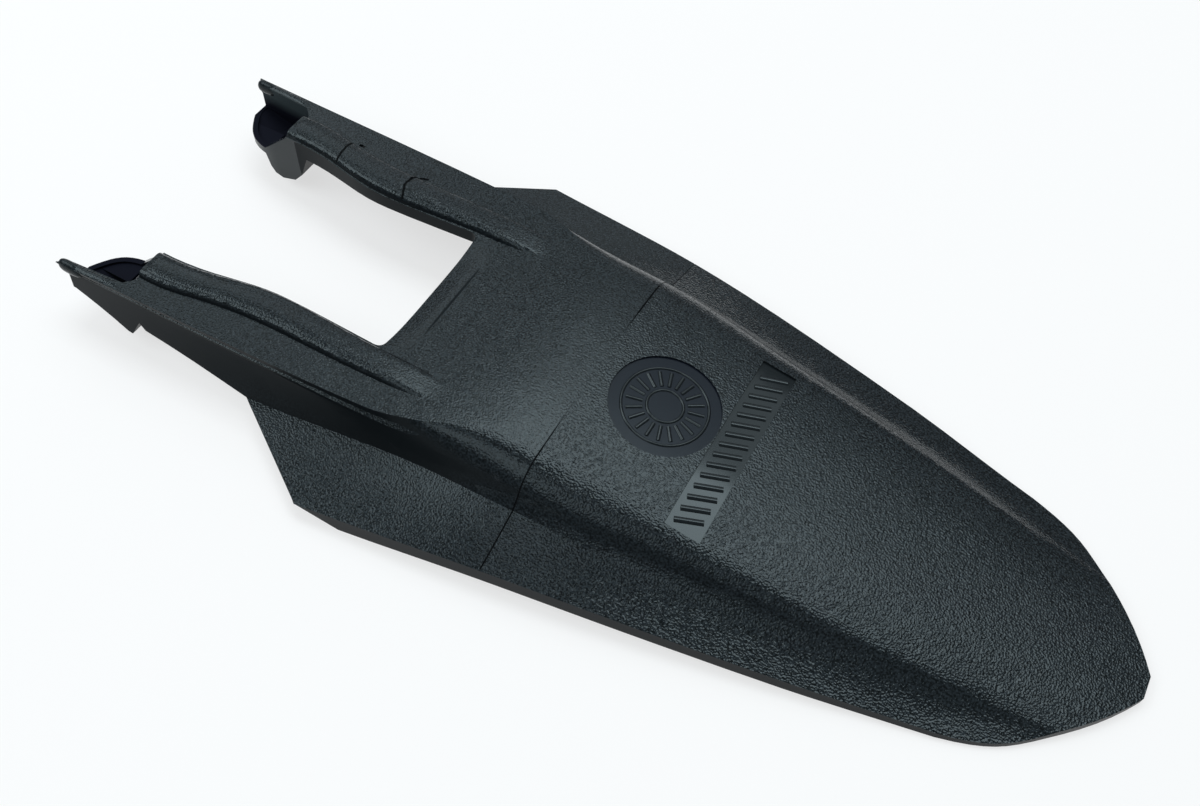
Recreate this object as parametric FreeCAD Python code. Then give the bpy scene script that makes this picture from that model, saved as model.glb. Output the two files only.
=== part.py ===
import FreeCAD, Part
import math
import os

# Rear fender of a light motorcycle, moulded in one piece. Stations run rearward from the tips of the
# lips on the two arms. Heights are above the surface that the fender lies on. All sizes are in mm.

# Overall sizes
length = 560.0
wall = 3.0
notch_depth = 175.0
deck_length = 75.0
tail_depth = 66.0

# Places of the guide curves' nodes, as shares of the deck, of the slope and of the tail
root_share = 0.20
bend_share = 0.52
fade_share = 0.86
waist_share = 0.09
arch_share = 0.145
slope_share = 0.245
middle_share = 0.40
flank_share = 0.635
rear_share = 0.74
heel_share = 0.90

# Middle line of the top face, from the arms to the tip
arm_height = 41.0
deck_height = 44.0
crown_height = 47.6
slope_height = 41.4
tail_height = 12.6
tip_height = 4.6

# Lip of the arms, which runs on as the upper edge of the crown's shoulder: half widths, then how far
# it lies below the middle line
lip_front_half = 82.4
lip_root_half = 76.0
lip_bend_half = 70.4
lip_crown_half = 58.0
lip_middle_half = 54.4
lip_rear_half = 50.5
lip_tail_half = 42.0
lip_end_half = 33.5
lip_front_fall = 1.0
lip_root_fall = 0.4
lip_crown_fall = 1.6
lip_slope_fall = 2.6
lip_tail_fall = 2.4
lip_end_fall = 1.0
top_power = 2.6

# Crease between the shoulder and the side wall: half widths and heights
crease_front_half = 80.0
crease_root_half = 76.0
crease_waist_half = 73.2
crease_middle_half = 66.8
crease_rear_half = 57.4
crease_tail_half = 47.5
crease_end_half = 36.8
crease_front_height = 33.0
crease_waist_height = 34.8
crease_middle_height = 25.8
crease_rear_height = 16.6
crease_tail_height = 8.8
crease_end_height = 3.4
shoulder_fullness = 0.66

# Side wall: how far its foot lies outside the crease and below it
wall_front_run = 4.6
wall_start_run = 8.7
wall_bend_run = 3.8
wall_waist_run = 6.3
wall_tail_run = 8.5
wall_end_run = 6.0
wall_front_drop = 39.0
wall_start_drop = 20.7
wall_bend_drop = 13.2
wall_waist_drop = 8.8
wall_tail_drop = 3.0
wall_end_drop = 1.2
wall_hollow = 0.2

# Flange: its slanted front edge, its outer edge and the rim below it
flange_start = 119.0
flange_rake = 57.0
flange_half = 122.0
flange_flare = 20.0
flange_arch_half = 107.0
flange_flank_half = 86.0
flange_tail_half = 67.0
flange_end_half = 56.0
edge_start_height = 7.6
edge_corner_height = 9.4
edge_arch_height = 15.2
edge_flank_height = 10.4
edge_tail_height = 4.0
edge_end_height = 1.6
flange_sag = 0.12
rim_chamfer = 22.0
rim_arch = 6.0

# Outline of the tail, which trims the flanges and the side walls: half widths at even steps to the tip,
# and how far outside the flanges it starts
tail_flare = 0.9
tail_start_half = 66.0
tail_round_half = 58.6
tail_middle_half = 45.0
tail_nib_half = 28.4
tip_half = 6.0

# Groove under the lip of each arm
groove_front_depth = 2.0
groove_root_depth = 3.6
lip_thickness = 2.6

# Arms: inner side, front edge of the deck and lower edges
arm_inner_front = 50.0
arm_inner_bulge = 41.4
arm_inner_root = 43.4
bulge_station = 115.0
notch_corner = 4.5
deck_droop = 4.0
droop_length = 14.0
flap_station = 187.4
flap_half = 25.0
flap_flare = 3.0
flap_drop = 4.6
inner_edge_front = 31.0
inner_edge_root = 36.0
outer_edge_front = 21.0
outer_edge_rear = 16.4

# Raised rib along each arm
rib_start = 30.0
rib_outer_front = 69.4
rib_outer_root = 62.0
rib_outer_end = 59.6
rib_height = 3.2
rib_keep_length = 7.0
rib_fade_length = 60.0
rib_sink = 3.2
rib_round = 3.6
rib_lean = 1.4
rib_foot = 1.4

# Lip's tip, nose, pocket, claw and tooth at the front end of each arm
tip_land = 0.7
tip_rake = 2.4
tip_width = 4.0
tip_overhang = 3.0
tip_thickness = 4.8
tip_bevel = 2.4
nose_front = 1.8
nose_half = 74.0
nose_split = 68.0
nose_length = 23.0
nose_power = 1.4
nose_bottom = 20.0
pocket_rear = 43.5
pocket_slope_end = 25.0
pocket_edge_height = 24.4
pocket_corner = 5.0
lip_width = 6.7
claw_front = 24.4
claw_toe = 29.3
claw_low = 34.5
claw_heel = 43.4
claw_back = 49.5
claw_rear = 56.0
claw_shin_share = 0.45
claw_shin_fall = 0.69
claw_toe_height = 7.6
claw_bottom = 6.0
claw_heel_height = 8.6
claw_back_height = 15.5
tooth_front = 4.5
tooth_tip = 38.0
tooth_flat = 3.0
tooth_bottom = 9.0
tooth_back = 47.0
tooth_notch = 19.5
tooth_land = 4.0

# Shallow recesses in the crown and the fine witness line of the mould across the shell
disc_station = 309.5
disc_radius = 28.0
strip_station = 347.0
strip_width = 18.5
strip_half_length = 53.5
recess_depth = 1.0
witness_station = 272.6
witness_width = 0.6
witness_depth = 0.35
witness_inner_half = 24.0

# Narrow slit beside the rib of the right arm
slit_station = 83.6
slit_half = 66.5
slit_length = 3.6
slit_width = 1.8

# Shares of the wall by which the corners of a section move inward and down
foot_in = 0.55
foot_down = 0.95
crease_in = 0.85
crease_down = 0.60
lip_in = 0.30
groove_share = 0.40

# Places across the top face where a section is held, as shares of the lip's half width
top_shares = (1.0, 0.9, 0.74, 0.58, 0.42, 0.22)

# Sections of the skin from the lips' tips to the tip of the tail, of a rib and of a lip's groove
arm_sections = 4
root_sections = 4
deck_sections = 7
slope_sections = 10
tail_sections = 3
rib_front_sections = 2
rib_arm_sections = 3
rib_root_sections = 2
rib_keep_sections = 1
rib_fade_sections = 3
groove_fade_sections = 5
arm_plan_points = 9
rim_front_points = 3
rim_rear_points = 5

# Room that the cutting volumes reach past the shell, and the least step between two corners
reach = 40.0
corner_step = 0.4

crown_station = notch_depth + deck_length
tail_station = length - tail_depth
flange_corner = flange_start + flange_rake
rim_start = flange_corner + rim_chamfer
rib_fade = notch_depth + rib_keep_length
rib_end = rib_fade + rib_fade_length
sky = crown_height + reach
split_half = nose_split - wall


def along(start, end, share):
    """Return the value at a share of the way from a start to an end."""
    return start + (end - start) * share


def spread(start, end, count):
    """List evenly spaced stations from a start up to, and not with, an end."""
    return [along(start, end, index / count) for index in range(count)]


def guide(*nodes):
    """Return a smooth monotone curve through (station, value) nodes, flat beyond its ends."""
    xs = [node[0] for node in nodes]
    ys = [node[1] for node in nodes]
    count = len(nodes)
    secants = [(ys[i + 1] - ys[i]) / (xs[i + 1] - xs[i]) for i in range(count - 1)]
    slopes = [secants[0]]
    for before, after in zip(secants, secants[1:]):
        slopes.append(2.0 * before * after / (before + after) if before * after > 0.0 else 0.0)
    slopes.append(secants[-1])

    def value(station):
        if station <= xs[0]:
            return ys[0]
        for i in range(count - 1):
            if station <= xs[i + 1]:
                span = xs[i + 1] - xs[i]
                u = (station - xs[i]) / span
                rise = ys[i + 1] - ys[i]
                pull = u * (1.0 - u) * ((1.0 - u) * slopes[i] - u * slopes[i + 1]) * span
                return ys[i] + rise * u * u * (3.0 - 2.0 * u) + pull
        return ys[-1]

    return value


def blend(start, end, station):
    """Rise smoothly from 0 at the start station to 1 at the end station."""
    u = min(1.0, max(0.0, (station - start) / (end - start)))
    return u * u * (3.0 - 2.0 * u)


# Stations of the guide curves' nodes
root_station = along(notch_depth, crown_station, root_share)
bend_station = along(notch_depth, crown_station, bend_share)
fade_station = along(notch_depth, crown_station, fade_share)
waist_station = along(crown_station, tail_station, waist_share)
arch_station = along(crown_station, tail_station, arch_share)
slope_station = along(crown_station, tail_station, slope_share)
middle_station = along(crown_station, tail_station, middle_share)
flank_station = along(crown_station, tail_station, flank_share)
rear_station = along(crown_station, tail_station, rear_share)
heel_station = along(crown_station, tail_station, heel_share)

# Guide curves of the skin
middle_z = guide(
    (0.0, arm_height), (notch_depth, deck_height), (crown_station, crown_height),
    (slope_station, slope_height), (tail_station, tail_height), (length, tip_height))
lip_y = guide(
    (0.0, lip_front_half), (root_station, lip_root_half), (bend_station, lip_bend_half),
    (crown_station, lip_crown_half), (middle_station, lip_middle_half), (rear_station, lip_rear_half),
    (tail_station, lip_tail_half), (length, lip_end_half))
lip_fall = guide(
    (0.0, lip_front_fall), (notch_depth, lip_root_fall), (crown_station, lip_crown_fall),
    (slope_station, lip_slope_fall), (tail_station, lip_tail_fall), (length, lip_end_fall))
crease_y = guide(
    (0.0, crease_front_half), (root_station, crease_root_half), (waist_station, crease_waist_half),
    (middle_station, crease_middle_half), (rear_station, crease_rear_half), (tail_station, crease_tail_half),
    (length, crease_end_half))
crease_z = guide(
    (root_station, crease_front_height), (waist_station, crease_waist_height),
    (middle_station, crease_middle_height), (rear_station, crease_rear_height),
    (tail_station, crease_tail_height), (length, crease_end_height))
wall_run = guide(
    (0.0, wall_front_run), (flange_start, wall_start_run), (bend_station, wall_bend_run),
    (waist_station, wall_waist_run), (tail_station, wall_tail_run), (length, wall_end_run))
wall_drop = guide(
    (0.0, wall_front_drop), (flange_start, wall_start_drop), (bend_station, wall_bend_drop),
    (waist_station, wall_waist_drop), (tail_station, wall_tail_drop), (length, wall_end_drop))
edge_y = guide(
    (0.0, flange_half + flange_flare), (flange_corner, flange_half), (arch_station, flange_arch_half),
    (flank_station, flange_flank_half), (tail_station, flange_tail_half), (length, flange_end_half))
edge_z = guide(
    (flange_start, edge_start_height), (flange_corner, edge_corner_height), (arch_station, edge_arch_height),
    (flank_station, edge_flank_height), (tail_station, edge_tail_height), (length, edge_end_height))
rim_z = guide((rim_start, 0.0), (arch_station, rim_arch), (heel_station, 0.0))
groove_depth = guide((0.0, groove_front_depth), (bulge_station, groove_root_depth))
inner_y = guide(
    (nose_front + nose_length, arm_inner_front), (claw_rear, arm_inner_front - corner_step),
    (bulge_station, arm_inner_bulge), (notch_depth, arm_inner_root))
rib_y = guide(
    (claw_rear, rib_outer_front), (bulge_station, rib_outer_root),
    (notch_depth, rib_outer_root - corner_step), (rib_end, rib_outer_end))


def arm_part(station):
    """Return 1 along the arms and 0 from the crown on, with a soft change at the root of the arms."""
    return 1.0 - blend(root_station, fade_station, station)


def lip_z(station):
    """Height of the lip and of the shoulder's upper edge."""
    return middle_z(station) - lip_fall(station)


def foot_y(station):
    """Half width at the foot of the side wall, where the flange starts."""
    return crease_y(station) + wall_run(station)


def foot_z(station):
    """Height of the foot of the side wall."""
    return crease_z(station) - wall_drop(station)


def top_z(station, y):
    """Height of the top face, with the droop of the deck's front edge between the arms."""
    share = min(1.0, abs(y) / lip_y(station))
    droop = deck_droop * blend(notch_depth + droop_length, notch_depth - wall, station)
    across = max(0.0, 1.0 - (abs(y) / arm_inner_bulge) ** 4)
    return middle_z(station) - lip_fall(station) * share ** top_power - droop * across


def place(station, y, z):
    """Turn a station, a side position and a height into a point of the part's frame."""
    return FreeCAD.Vector(station - length / 2.0, y, z)


def bend(station, side, start, pole, end):
    """Build the edge of a section that leaves one point and reaches another under one pole."""
    curve = Part.BezierCurve()
    curve.setPoles([place(station, side * y, z) for y, z in (start, pole, end)])
    return curve.toBSpline().toShape()


def corner_points(station, depth):
    """List edge, foot, crease and lip of one half section, moved into the shell by a depth."""
    arm = arm_part(station)
    groove = arm * groove_depth(station) if depth > 0.0 else 0.0
    edge = (edge_y(station) - depth, edge_z(station) - depth)
    foot_half = foot_y(station) - foot_in * depth
    foot = (min(foot_half, edge[0] - corner_step), foot_z(station) - foot_down * depth)
    crease_half = crease_y(station) - crease_in * depth - groove_share * groove
    crease = (min(crease_half, foot[0] - corner_step), crease_z(station) - crease_down * depth)
    lip_half = lip_y(station) - along(lip_in, 1.0, arm) * depth - groove
    if depth > 0.0:
        lip_half = min(lip_half, crease[0] - corner_step)
    return edge, foot, crease, (lip_half, lip_z(station) - depth)


def half_edges(station, depth, side):
    """Build the flange, side wall and shoulder edges of one half section, from outside to the top."""
    edge, foot, crease, lip = corner_points(station, depth)
    sag = flange_sag * (foot[1] - edge[1])
    flange_pole = (along(edge[0], foot[0], 0.5), along(edge[1], foot[1], 0.5) - sag)
    wall_pole = (along(foot[0], crease[0], 0.5 + wall_hollow), along(foot[1], crease[1], 0.5))
    swell = shoulder_fullness * (crease[0] - lip[0])
    slope = -top_power * lip_fall(station) / lip_y(station)
    arm = arm_part(station) if depth == 0.0 else 1.0
    straight = (along(crease[0], lip[0], 0.5), along(crease[1], lip[1], 0.5))
    shoulder_pole = (along(lip[0] + swell, straight[0], arm), along(lip[1] + slope * swell, straight[1], arm))
    return [
        bend(station, side, edge, flange_pole, foot), bend(station, side, foot, wall_pole, crease),
        bend(station, side, crease, shoulder_pole, lip)]


def top_edge(station, depth):
    """Build the edge of a section across the top face, from the right lip to the left lip."""
    lip_half = corner_points(station, depth)[3][0]
    half = []
    for share in top_shares:
        half.append((share * lip_half, top_z(station, share * lip_y(station)) - depth))
    chain = half + [(0.0, top_z(station, 0.0) - depth)] + [(-y, z) for y, z in reversed(half)]
    curve = Part.BSplineCurve()
    last = len(chain) - 1
    curve.interpolate(
        Points=[place(station, y, z) for y, z in chain], Parameters=[i / last for i in range(last + 1)])
    return curve.toShape()


def section_wire(station, depth):
    """Build the closed wire of one section, inset by a depth, that runs down below the ground."""
    right = half_edges(station, depth, 1.0)
    left = half_edges(station, depth, -1.0)
    half, height = corner_points(station, depth)[0]
    corners = [
        place(station, -half, height), place(station, -half, -reach),
        place(station, half, -reach), place(station, half, height)]
    sides = [Part.makeLine(a, b) for a, b in zip(corners, corners[1:])]
    return Part.Wire(right + [top_edge(station, depth)] + left[::-1] + sides)


def skin_volume(depth):
    """Loft the sections into the volume under the skin, inset by a depth."""
    stations = spread(0.0, flange_start, arm_sections) + spread(flange_start, notch_depth, root_sections)
    stations += spread(notch_depth, crown_station, deck_sections)
    stations += spread(crown_station, tail_station, slope_sections)
    stations += spread(tail_station, length, tail_sections) + [length]
    return Part.makeLoft([section_wire(station, depth) for station in stations], True, False)


def rib_wire(station, side, depth):
    """Build the closed wire of one rib section on the right (1) or left (-1) arm, inset by a depth.

    The rib is rounded outside, and its hollow has plain chamfers.
    """
    inner = inner_y(station) + depth
    outer = rib_y(station) - depth
    base = top_z(station, along(inner, outer, 0.5)) - depth
    sink = blend(rib_fade, rib_end, station)
    crest = base + rib_height - (rib_height + rib_sink) * sink
    low = base - rib_foot - rib_sink
    bottom = low - reach / 4.0
    inner_corner = (inner + rib_lean, crest)
    outer_corner = (outer - rib_lean, crest)
    inner_soft = (along(inner, inner + rib_lean, 0.5), along(low, crest, 0.5))
    outer_soft = (along(outer, outer - rib_lean, 0.5), along(low, crest, 0.5))
    inner_top = (inner_corner[0] + rib_round, crest)
    outer_top = (outer_corner[0] - rib_round, crest)

    def line(a, b):
        return Part.makeLine(place(station, side * a[0], a[1]), place(station, side * b[0], b[1]))

    if depth == 0.0:
        inner_round = bend(station, side, inner_soft, inner_corner, inner_top)
        outer_round = bend(station, side, outer_top, outer_corner, outer_soft)
    else:
        inner_round = line(inner_soft, inner_top)
        outer_round = line(outer_top, outer_soft)
    return Part.Wire([
        line((inner, bottom), (inner, low)), line((inner, low), inner_soft), inner_round,
        line(inner_top, outer_top), outer_round, line(outer_soft, (outer, low)),
        line((outer, low), (outer, bottom)), line((outer, bottom), (inner, bottom))])


def rib(side, depth):
    """Loft the raised rib of one arm, inset by a depth."""
    stations = spread(rib_start, claw_rear, rib_front_sections)
    stations += spread(claw_rear, bulge_station, rib_arm_sections)
    stations += spread(bulge_station, notch_depth, rib_root_sections)
    stations += spread(notch_depth, rib_fade, rib_keep_sections)
    stations += spread(rib_fade, rib_end, rib_fade_sections) + [rib_end]
    return Part.makeLoft([rib_wire(station, side, depth) for station in stations], True, False)


def lip_groove(side):
    """Loft the groove under one arm's lip, which runs out of the shell at the root of the arm."""
    sections = []
    stations = [-reach] + spread(0.0, notch_depth, arm_sections)
    stations += spread(notch_depth, fade_station, groove_fade_sections)
    for station in stations:
        deep = min(lip_y(station), crease_y(station)) - groove_depth(station)
        clear = max(lip_y(station), crease_y(station)) + wall
        apex = along(clear, deep, blend(fade_station, root_station, station))
        triangle = [
            (clear, lip_z(station) - lip_thickness), (apex, along(crease_z(station), lip_z(station), 0.5)),
            (clear, crease_z(station)), (clear, lip_z(station) - lip_thickness)]
        sections.append(Part.makePolygon([place(station, side * y, z) for y, z in triangle]))
    return Part.makeLoft(sections, True, False)


def moved_line(points, offset):
    """Move plan points of (station, y) to the left of the line's run by an offset."""
    last = len(points) - 1
    moved = []
    for i, (x, y) in enumerate(points):
        ahead = points[min(i + 1, last)]
        behind = points[max(i - 1, 0)]
        dx = ahead[0] - behind[0]
        dy = ahead[1] - behind[1]
        size = math.hypot(dx, dy)
        moved.append((x - dy / size * offset, y + dx / size * offset))
    return moved


def front_curve(offset):
    """List plan points round one arm's nose and along its inner side, moved into the arm by an offset."""
    points = [(corner_step, lip_front_half - tip_land), (tip_rake, lip_front_half - tip_width)]
    for quarter in (0.0, 1.0 / 3.0, 2.0 / 3.0):
        turn = quarter * math.pi / 2.0
        station = nose_front + nose_length * (1.0 - math.cos(turn))
        points.append((station, along(nose_half, arm_inner_front, math.sin(turn) ** nose_power)))
    rear = notch_depth - notch_corner
    stations = spread(nose_front + nose_length, rear, arm_plan_points) + [rear]
    points += [(station, inner_y(station)) for station in stations]
    return moved_line(points, offset)


def front_space(offset):
    """Build the open space between the arms and round their noses, grown into the arms by an offset."""
    half = front_curve(offset)
    rear = notch_depth + offset
    start_half = half[0][1]
    end_half = half[-1][1]
    edges = [
        Part.makeLine(place(-reach, start_half, -reach), place(-reach, -start_half, -reach)),
        Part.makeLine(
            place(rear, end_half - notch_corner, -reach), place(rear, notch_corner - end_half, -reach))]
    for side in (1.0, -1.0):
        curve = Part.BSplineCurve()
        curve.interpolate(Points=[place(x, side * y, -reach) for x, y in half])
        edges.append(curve.toShape())
        edges.append(Part.makeLine(place(-reach, side * start_half, -reach), curve.StartPoint))
        corner = Part.BezierCurve()
        corner.setPoles([
            curve.EndPoint, place(rear, side * end_half, -reach),
            place(rear, side * (end_half - notch_corner), -reach)])
        edges.append(corner.toShape())
    wire = Part.Wire(Part.__sortEdges__(edges))
    return Part.Face(wire).extrude(FreeCAD.Vector(0.0, 0.0, reach + sky))


def tail_space(offset):
    """Build the space outside the tail's outline, grown into the tail by an offset."""
    halves = [tail_start_half, tail_round_half, tail_middle_half, tail_nib_half, tip_half]
    steps = spread(tail_station, length, len(halves) - 1)
    near = tail_station - steps[1] + steps[0]
    far = 2.0 * near - tail_station
    outline = [(far, edge_y(far) + tail_flare), (near, edge_y(near) + corner_step * tail_flare)]
    half = moved_line(outline + list(zip(steps + [length], halves)), -offset)
    front = half[0][0]
    side_half = 2.0 * flange_half
    rear = length + reach
    corners = [(front, -side_half), (rear, -side_half), (rear, side_half), (front, side_half)]
    points = [place(x, y, -reach) for x, y in [(half[0][0], -half[0][1])] + corners + [half[0]]]
    edges = [Part.makeLine(a, b) for a, b in zip(points, points[1:])]
    tip, tip_y = half[-1]
    edges.append(Part.makeLine(place(tip, tip_y, -reach), place(tip, -tip_y, -reach)))
    for side in (1.0, -1.0):
        curve = Part.BSplineCurve()
        curve.interpolate(Points=[place(x, side * y, -reach) for x, y in half])
        edges.append(curve.toShape())
    wire = Part.Wire(Part.__sortEdges__(edges))
    return Part.Face(wire).extrude(FreeCAD.Vector(0.0, 0.0, reach + sky))


def side_prism(profile, low_y, high_y):
    """Extrude a closed side profile of (station, height) points from one side position to another."""
    points = [place(station, low_y, z) for station, z in profile]
    points.append(points[0])
    return Part.Face(Part.makePolygon(points)).extrude(FreeCAD.Vector(0.0, high_y - low_y, 0.0))


def plan_prism(outline, low_z, high_z):
    """Extrude a closed plan outline of (station, y) points from one height to another."""
    points = [place(station, y, low_z) for station, y in outline]
    points.append(points[0])
    return Part.Face(Part.makePolygon(points)).extrude(FreeCAD.Vector(0.0, 0.0, high_z - low_z))


def inset_line(line, distance):
    """Move an open side profile of (station, height) points up into the shell, with mitred corners."""
    normals = []
    for (x0, z0), (x1, z1) in zip(line, line[1:]):
        size = math.hypot(x1 - x0, z1 - z0)
        normals.append(((z0 - z1) / size, (x1 - x0) / size))
    normals = normals[:1] + normals + normals[-1:]
    moved = []
    for (x, z), (ax, az), (bx, bz) in zip(line, normals, normals[1:]):
        scale = distance / (1.0 + ax * bx + az * bz)
        moved.append((x + (ax + bx) * scale, z + (az + bz) * scale))
    return moved


def ground_cut():
    """Build the space below the rims, with the chamfer at the front end of each rim."""
    stations = spread(rim_start, arch_station, rim_front_points)
    stations += spread(arch_station, heel_station, rim_rear_points) + [heel_station]
    low = -2.0 * reach
    side = -2.0 * flange_half
    ends = [
        (heel_station, 0.0), (length + reach, 0.0), (length + reach, low), (flange_corner - wall, low),
        (flange_corner - wall, edge_corner_height), (flange_corner, edge_corner_height), (rim_start, 0.0)]
    curve = Part.BSplineCurve()
    curve.interpolate(Points=[place(station, side, rim_z(station)) for station in stations])
    corners = [place(station, side, z) for station, z in ends]
    edges = [curve.toShape()] + [Part.makeLine(a, b) for a, b in zip(corners, corners[1:])]
    return Part.Face(Part.Wire(edges)).extrude(FreeCAD.Vector(0.0, -2.0 * side, 0.0))


def tooth_line():
    """List the side profile of the outer wall's lower edge round the small tooth."""
    return [
        (-reach, outer_edge_front), (tooth_front, outer_edge_front), (tooth_tip, tooth_bottom),
        (tooth_tip + tooth_flat, tooth_bottom), (tooth_back, tooth_notch)]


def claw_line():
    """List the side profile of the inner wall's lower edge round the claw."""
    return [
        (-reach, nose_bottom), (claw_front, nose_bottom),
        (along(claw_front, claw_toe, claw_shin_share), along(nose_bottom, claw_toe_height, claw_shin_fall)),
        (claw_toe, claw_toe_height), (claw_low, claw_bottom), (claw_heel, claw_heel_height),
        (claw_back, claw_back_height), (claw_rear, inner_edge_front)]


def outer_edge_cuts():
    """Build the spaces below the outer walls of the arms, with the small tooth near the front."""
    low = -2.0 * reach
    start_height = foot_z(flange_start)
    rear = flange_corner - wall
    profile = tooth_line() + [
        (tooth_back + tooth_land, outer_edge_rear), (flange_start, start_height),
        (flange_start + wall, start_height - 2.0 * wall), (rear, edge_corner_height - 2.0 * wall),
        (rear, low), (-reach, low)]
    far = 2.0 * flange_half
    return [side_prism(profile, split_half, far), side_prism(profile, -far, -split_half)]


def inner_edge_cut():
    """Build the space below the inner walls of the arms and the deck's front edge, with the claws."""
    low = -2.0 * reach
    rear = notch_depth + 2.0 * wall
    profile = claw_line() + [
        (notch_depth - wall, inner_edge_root), (rear, inner_edge_root + wall / 2.0), (rear, low),
        (-reach, low)]
    return side_prism(profile, -split_half, split_half)


def pocket_walls():
    """Build the bands that close the pockets below and behind, over the claws and over the teeth."""
    claw = claw_line() + [(claw_rear, sky)]
    land = tooth_back + tooth_land
    tooth = tooth_line() + [(land, tooth_notch), (land, sky)]
    band = claw + inset_line(claw, wall)[::-1]
    step = tooth + inset_line(tooth, wall)[::-1]
    far = 2.0 * flange_half
    return [
        side_prism(band, -split_half, split_half), side_prism(step, split_half, far),
        side_prism(step, -far, -split_half)]


def flange_front_cuts():
    """Build the spaces ahead of the slanted front edges of the flanges."""
    start_half = foot_y(flange_start)
    far = 2.0 * flange_half
    far_station = along(flange_start, flange_corner, (far - start_half) / (flange_half - start_half))
    top = foot_z(flange_start) + 2.0 * wall
    cuts = []
    for side in (1.0, -1.0):
        outline = [
            (flange_start, side * start_half), (far_station, side * far), (-reach, side * far),
            (-reach, side * start_half)]
        cuts.append(plan_prism(outline, -2.0 * reach, top))
    return cuts


def pocket_cut(side):
    """Build the opening in the top of one arm's front end, down to the slope of its inner wall."""
    outer = side * (lip_front_half - lip_width)
    front = side * (lip_front_half - tip_width)
    inner = side * (arm_inner_front - reach / 4.0)
    profile = [
        (pocket_rear, sky), (pocket_rear, arm_height), (pocket_slope_end, pocket_edge_height),
        (-reach, pocket_edge_height), (-reach, sky)]
    outline = [
        (-reach, inner), (pocket_rear + wall, inner), (pocket_rear + wall, outer - side * pocket_corner),
        (pocket_rear, outer - side * pocket_corner), (pocket_rear - pocket_corner, outer), (0.0, front),
        (-reach, front)]
    block = side_prism(profile, min(inner, front), max(inner, front))
    return block.common(plan_prism(outline, 0.0, sky))


def tip_cuts():
    """Build the spaces below the overhanging tips of the lips."""
    low = -2.0 * reach
    under = arm_height - tip_thickness
    profile = [
        (-reach, under), (tip_overhang - tip_bevel, under), (tip_overhang, under - tip_bevel),
        (tip_overhang, low), (-reach, low)]
    far = 2.0 * flange_half
    return [side_prism(profile, -far, far)]


def flap_cut():
    """Build the wedge over the flap at the deck's front edge, which bends down along a sharp crease."""
    front = notch_depth - wall
    top = top_z(flap_station, 0.0)
    profile = [(flap_station, top), (front, top - flap_drop), (front, sky), (flap_station, sky)]
    wide = flap_half + flap_flare
    outline = [(flap_station, -flap_half), (flap_station, flap_half), (front, wide), (front, -wide)]
    return side_prism(profile, -wide, wide).common(plan_prism(outline, 0.0, sky))


def recess_tools():
    """Build prisms over the round recess and over the strip recess in the crown."""
    disc = Part.makeCylinder(disc_radius, sky, place(disc_station, 0.0, 0.0))
    corner = place(strip_station - strip_width / 2.0, -strip_half_length, 0.0)
    return [disc, Part.makeBox(strip_width, 2.0 * strip_half_length, sky, corner)]


def witness_tools():
    """Build thin slabs over the witness line, which fades out at the middle of the crown."""
    run = flange_half - witness_inner_half
    slabs = []
    for start in (witness_inner_half, -flange_half):
        corner = place(witness_station - witness_width / 2.0, start, 0.0)
        slabs.append(Part.makeBox(witness_width, run, sky, corner))
    return slabs


def slit_cut():
    """Build the narrow slit through the top face of the right arm."""
    corner = place(slit_station - slit_length / 2.0, slit_half - slit_width / 2.0, arm_height - 2.0 * wall)
    return Part.makeBox(slit_length, slit_width, 4.0 * wall, corner)


def lowered(volume, depth):
    """Move a volume down by a depth."""
    return volume.translated(FreeCAD.Vector(0.0, 0.0, -depth))


def fender():
    """Build the moulded shell: outer volume less inner volume, trimmed, recessed and marked."""
    outer = skin_volume(0.0)
    inner = skin_volume(wall)
    for side in (1.0, -1.0):
        outer = outer.fuse(rib(side, 0.0))
        inner = inner.fuse(rib(side, wall))
    marks = [tool.cut(lowered(outer, recess_depth)) for tool in recess_tools()]
    marks += [tool.cut(lowered(outer, witness_depth)) for tool in witness_tools()]
    outer = outer.cut([front_space(0.0), tail_space(0.0), lip_groove(1.0), lip_groove(-1.0)])
    inner = inner.cut([front_space(wall), tail_space(wall)] + pocket_walls())
    shell = outer.cut(inner)
    shell = shell.cut([ground_cut(), inner_edge_cut()] + outer_edge_cuts() + flange_front_cuts())
    shell = shell.cut([pocket_cut(1.0), pocket_cut(-1.0), flap_cut(), slit_cut()] + tip_cuts())
    shell = shell.cut(marks)
    print("solids", [round(solid.Volume) for solid in shell.Solids])
    return max(shell.Solids, key=lambda solid: solid.Volume)


os.makedirs("parts", exist_ok=True)
body = fender()
box = body.optimalBoundingBox()
print("valid", body.isValid(), "size", round(box.XLength, 1), round(box.YLength, 1), round(box.ZLength, 1))
print("low", round(box.ZMin, 2), "volume", round(body.Volume / 1000.0, 1), "cm3", "faces", len(body.Faces))
body.exportStep("parts/rear_fender.step")
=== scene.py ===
"""Looks of a light motorcycle's rear fender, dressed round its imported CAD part. Lengths are in metres."""

import logging
import math
from dataclasses import dataclass
from enum import Enum

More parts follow.
